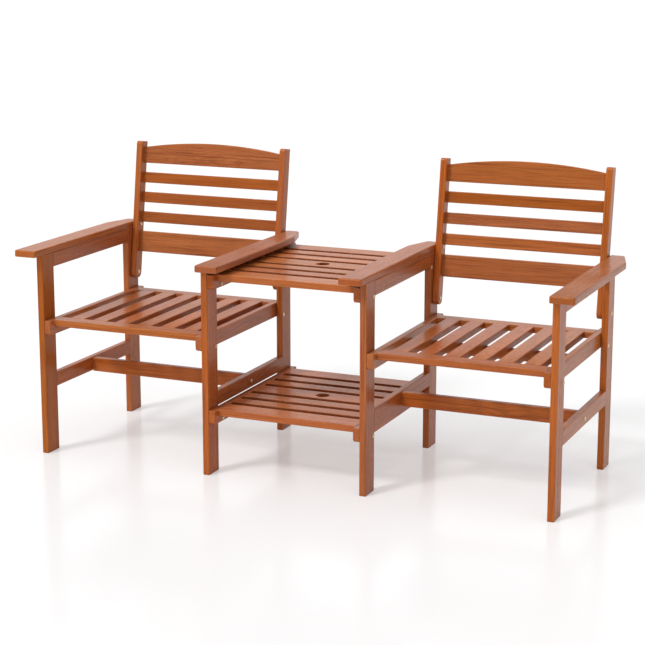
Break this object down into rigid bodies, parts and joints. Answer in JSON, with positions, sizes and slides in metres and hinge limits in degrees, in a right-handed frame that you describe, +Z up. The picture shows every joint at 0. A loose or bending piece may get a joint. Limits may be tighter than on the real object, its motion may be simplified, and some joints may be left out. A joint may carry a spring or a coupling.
{
  "type": "companion seat bench",
  "caption": "Slatted wooden companion seat: armchairs joined by a slatted table with a shelf below and a hole for a parasol pole.",
  "frame": {"origin": "on the floor, under the middle of the whole bench", "axes": "+X along the bench to the sitter's left, +Y towards the backs, +Z up"},
  "size_m": [1.7, 0.6582, 0.8826],
  "materials": {
    "arm_wood": "semi-gloss reddish brown oil stain",
    "back_wood": "semi-gloss reddish brown oil stain",
    "bolt_metal": "yellow zinc plated steel, satin",
    "cleat_wood": "semi-gloss reddish brown oil stain",
    "cross_wood": "semi-gloss reddish brown oil stain",
    "dowel_wood": "raw",
    "leg_wood": "semi-gloss reddish brown oil stain",
    "rail_wood": "semi-gloss reddish brown oil stain",
    "seat_wood": "semi-gloss reddish brown oil stain",
    "stile_wood": "semi-gloss reddish brown oil stain",
    "table_wood": "semi-gloss reddish brown oil stain"
  },
  "bodies": {
    "root": {"left_end_front_leg": "leg_wood", "left_end_rear_leg": "leg_wood", "left_end_arm_rail": "rail_wood", "left_end_side_stretcher": "rail_wood", "left_end_arm_rest": "arm_wood", "left_inner_front_leg": "leg_wood", "left_inner_rear_leg": "leg_wood", "left_inner_arm_rail": "rail_wood", "left_inner_side_stretcher": "rail_wood", "left_inner_arm_rest": "arm_wood", "right_inner_front_leg": "leg_wood", "right_inner_rear_leg": "leg_wood", "right_inner_arm_rail": "rail_wood", "right_inner_side_stretcher": "rail_wood", "right_inner_arm_rest": "arm_wood", "right_end_front_leg": "leg_wood", "right_end_rear_leg": "leg_wood", "right_end_arm_rail": "rail_wood", "right_end_side_stretcher": "rail_wood", "right_end_arm_rest": "arm_wood", "left_seat_left_cleat": "cleat_wood", "left_seat_right_cleat": "cleat_wood", "left_seat_rails": "seat_wood", "left_seat_batten": "seat_wood", "left_seat_slats": "seat_wood", "left_seat_back_left_stile": "stile_wood", "left_seat_back_right_stile": "stile_wood", "left_seat_back_lower_rail": "back_wood", "left_seat_back_slats": "back_wood", "left_seat_back_crest_rail": "back_wood", "left_seat_cross_stretcher": "cross_wood", "right_seat_left_cleat": "cleat_wood", "right_seat_right_cleat": "cleat_wood", "right_seat_rails": "seat_wood", "right_seat_batten": "seat_wood", "right_seat_slats": "seat_wood", "right_seat_back_left_stile": "stile_wood", "right_seat_back_right_stile": "stile_wood", "right_seat_back_lower_rail": "back_wood", "right_seat_back_slats": "back_wood", "right_seat_back_crest_rail": "back_wood", "right_seat_cross_stretcher": "cross_wood", "table_edge_slats": "table_wood", "table_narrow_slats": "table_wood", "table_centre_slat": "table_wood", "table_left_cleat": "cleat_wood", "table_right_cleat": "cleat_wood", "shelf_edge_slats": "table_wood", "shelf_narrow_slats": "table_wood", "shelf_centre_slat": "table_wood", "shelf_left_cleat": "cleat_wood", "shelf_right_cleat": "cleat_wood", "cleat_bolts": "bolt_metal", "back_bolts": "bolt_metal", "sleeve_nuts": "bolt_metal", "back_screws": "bolt_metal", "cross_bolts": "bolt_metal", "barrel_nuts": "bolt_metal", "frame_dowels": "dowel_wood", "panel_dowels": "dowel_wood"}
  },
  "joints": []
}
